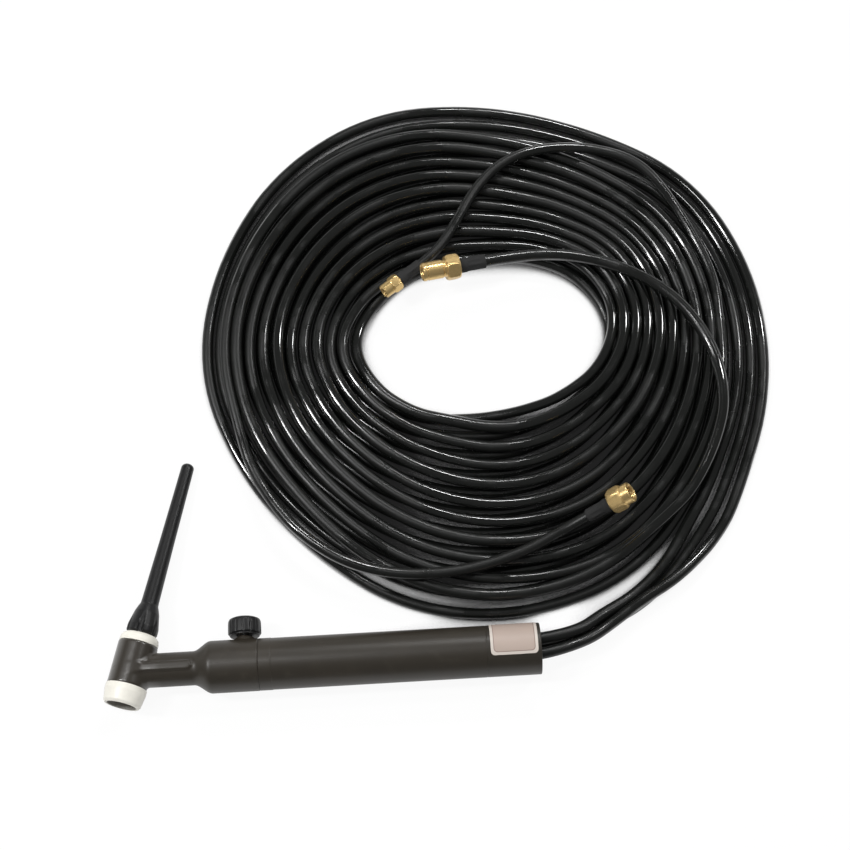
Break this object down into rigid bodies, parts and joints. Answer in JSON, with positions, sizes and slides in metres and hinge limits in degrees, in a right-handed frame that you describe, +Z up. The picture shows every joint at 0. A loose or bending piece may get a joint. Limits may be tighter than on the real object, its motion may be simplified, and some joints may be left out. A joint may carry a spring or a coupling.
{
  "type": "tig torch",
  "caption": "Water-cooled welding torch with a bent head, long back cap, gas valve knob, tubular handle and coiled black hoses ending in brass nuts.",
  "frame": {"origin": "on the floor, under the middle of the torch's own box without its hoses", "axes": "+X along the handle toward its hose end, +Z up from the floor, +Y toward the back cap's tip"},
  "size_m": [0.4044, 0.3706, 0.0439],
  "materials": {
    "brass_parts": "machined",
    "brass_fittings": "machined, slightly worn",
    "white_rings": "satin, ivory white",
    "cap_plastic": "satin black moulding",
    "rubber_seals": "matte",
    "body_moulding": "satin dark moulding",
    "steel_stem": "turned",
    "knob_plastic": "satin black moulding",
    "handle_plastic": "satin, fine grain",
    "label_film": "matte printed film, bare",
    "copper_tubes": "drawn copper",
    "steel_ferrules": "crimped sleeve",
    "hose_sleeves": "satin black crimped sleeve",
    "hose_rubber": "glossy black"
  },
  "bodies": {
    "torch": {"head_core": "brass_parts", "cup_ring": "white_rings", "cap_ring": "white_rings", "moulded_body": "body_moulding", "valve_body": "brass_parts", "handle_tube": "handle_plastic", "handle_label": "label_film", "gas_tube_front": "copper_tubes", "gas_tube_rear": "copper_tubes", "power_tube": "copper_tubes", "water_tube": "copper_tubes", "gas_barb": "brass_parts", "power_barb": "brass_parts", "water_barb": "brass_parts", "gas_ferrule": "steel_ferrules", "power_ferrule": "steel_ferrules", "water_ferrule": "steel_ferrules", "water_hose_lead": "hose_rubber", "water_hose_coil": "hose_rubber", "water_hose_tail": "hose_rubber", "water_end_ferrule": "hose_sleeves", "water_nipple": "brass_fittings", "gas_hose_lead": "hose_rubber", "gas_hose_coil": "hose_rubber", "gas_hose_tail": "hose_rubber", "gas_end_ferrule": "hose_sleeves", "gas_nipple": "brass_fittings", "power_hose_lead": "hose_rubber", "power_hose_coil": "hose_rubber", "power_hose_tail": "hose_rubber", "power_end_ferrule": "hose_sleeves", "power_nipple": "brass_fittings"},
    "cap_seal": {"cap_seal": "rubber_seals"},
    "back_cap": {"back_cap": "cap_plastic"},
    "stem_seal": {"stem_seal": "rubber_seals"},
    "valve_knob": {"valve_stem": "steel_stem", "valve_knob": "knob_plastic"},
    "water_nut": {"water_nut": "brass_fittings"},
    "gas_nut": {"gas_nut": "brass_fittings"},
    "power_nut": {"power_nut": "brass_fittings"}
  },
  "joints": [
    {"name": "cap_travel", "type": "slide", "parent": "torch", "child": "cap_seal", "axis": [0.2706, 0.9588, -0.0869], "range_m": [0, 0.0064]},
    {"name": "cap_turn", "type": "hinge", "parent": "cap_seal", "child": "back_cap", "pos_m": [-0.10405, -0.02998, 0.01315], "axis": [0.2706, 0.9588, -0.0869], "range_deg": [0, 1800]},
    {"name": "valve_travel", "type": "slide", "parent": "torch", "child": "stem_seal", "axis": [0, 0.9959, -0.0902], "range_m": [0, 0.00125]},
    {"name": "valve_turn", "type": "hinge", "parent": "stem_seal", "child": "valve_knob", "pos_m": [-0.04411, -0.03452, 0.01357], "axis": [0, 0.9959, -0.0902], "range_deg": [0, 540]},
    {"name": "water_nut_turn", "type": "hinge", "parent": "torch", "child": "water_nut", "pos_m": [0.18031, 0.03146, 0.03683], "axis": [0.8057, 0.311, 0.5041], "continuous": true},
    {"name": "gas_nut_turn", "type": "hinge", "parent": "torch", "child": "gas_nut", "pos_m": [0.0492, 0.17073, 0.02107], "axis": [-0.812, -0.5829, 0.0299], "continuous": true},
    {"name": "power_nut_turn", "type": "hinge", "parent": "torch", "child": "power_nut", "pos_m": [0.07881, 0.17891, 0.02808], "axis": [-0.9741, -0.1795, 0.1375], "continuous": true}
  ],
  "couplings": [
    {"joint": "cap_travel", "follows": "cap_turn", "m_per_rad": 0.00020213},
    {"joint": "valve_travel", "follows": "valve_turn", "m_per_rad": 0.00012732}
  ]
}
